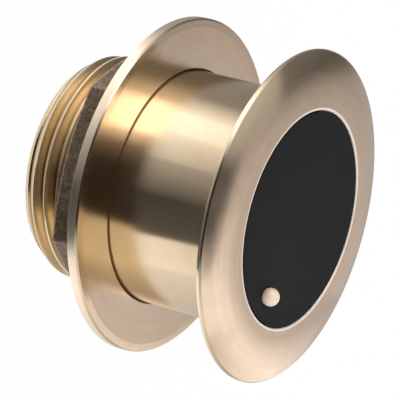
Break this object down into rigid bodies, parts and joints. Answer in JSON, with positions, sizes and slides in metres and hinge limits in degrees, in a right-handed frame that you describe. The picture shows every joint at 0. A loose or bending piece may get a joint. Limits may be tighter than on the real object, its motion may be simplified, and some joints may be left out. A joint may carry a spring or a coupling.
{
  "type": "sonar transducer",
  "caption": "Bronze thru-hull sonar transducer: round face flange with a flush black acoustic window and a temperature stud, threaded stem and a flanged hull nut.",
  "frame": {"origin": "centre of the end of the threaded stem, on which the part stands", "axes": "+Z along the stem towards the face and its acoustic window; the temperature stud lies towards -Y"},
  "size_m": [0.079, 0.079, 0.0619],
  "materials": {
    "turned_bronze": "turned bronze",
    "black_urethane": "cast urethane",
    "thermistor_glass": "glass bead",
    "tinned_copper": "tinned",
    "filled_epoxy": "filled epoxy",
    "piezo_ceramic": "fired, silvered",
    "cork_rubber": "cork and rubber",
    "white_polymer": "moulded",
    "board_green": "glass-filled laminate",
    "plated_steel": "plated",
    "ferrite": "sintered",
    "enamelled_copper": "enamelled",
    "capacitor_red": "dipped",
    "resistor_tan": "coated",
    "black_polymer": "moulded",
    "black_rubber": "moulded"
  },
  "bodies": {
    "transducer": {"housing": "turned_bronze", "acoustic_window": "black_urethane", "temperature_stud": "turned_bronze", "thermistor_bead": "thermistor_glass", "thermistor_lead_1": "tinned_copper", "thermistor_lead_2": "tinned_copper", "matching_layer": "filled_epoxy", "piezo_disc": "piezo_ceramic", "isolation_cup": "cork_rubber", "front_electrode_tab": "tinned_copper", "front_electrode_lead": "enamelled_copper", "rear_electrode_lead": "enamelled_copper", "tilt_cradle": "white_polymer", "circuit_board": "board_green", "board_screw_1": "plated_steel", "board_screw_2": "plated_steel", "board_screw_3": "plated_steel", "transformer_core": "ferrite", "transformer_winding": "enamelled_copper", "tuning_capacitor": "capacitor_red", "bleed_resistor": "resistor_tan", "terminal_pin_1": "tinned_copper", "terminal_pin_2": "tinned_copper", "terminal_pin_3": "tinned_copper", "rear_bulkhead": "black_polymer", "bulkhead_seal": "black_rubber", "bulkhead_clip": "plated_steel", "gland_body": "black_polymer", "gland_seal": "black_rubber", "gland_nut": "black_polymer"},
    "hull_nut": {"hull_nut": "turned_bronze"}
  },
  "joints": [
    {"name": "hull_nut_travel", "type": "slide", "parent": "transducer", "child": "hull_nut", "axis": [0, 0, -1], "range_m": [0, 0.0123]}
  ]
}
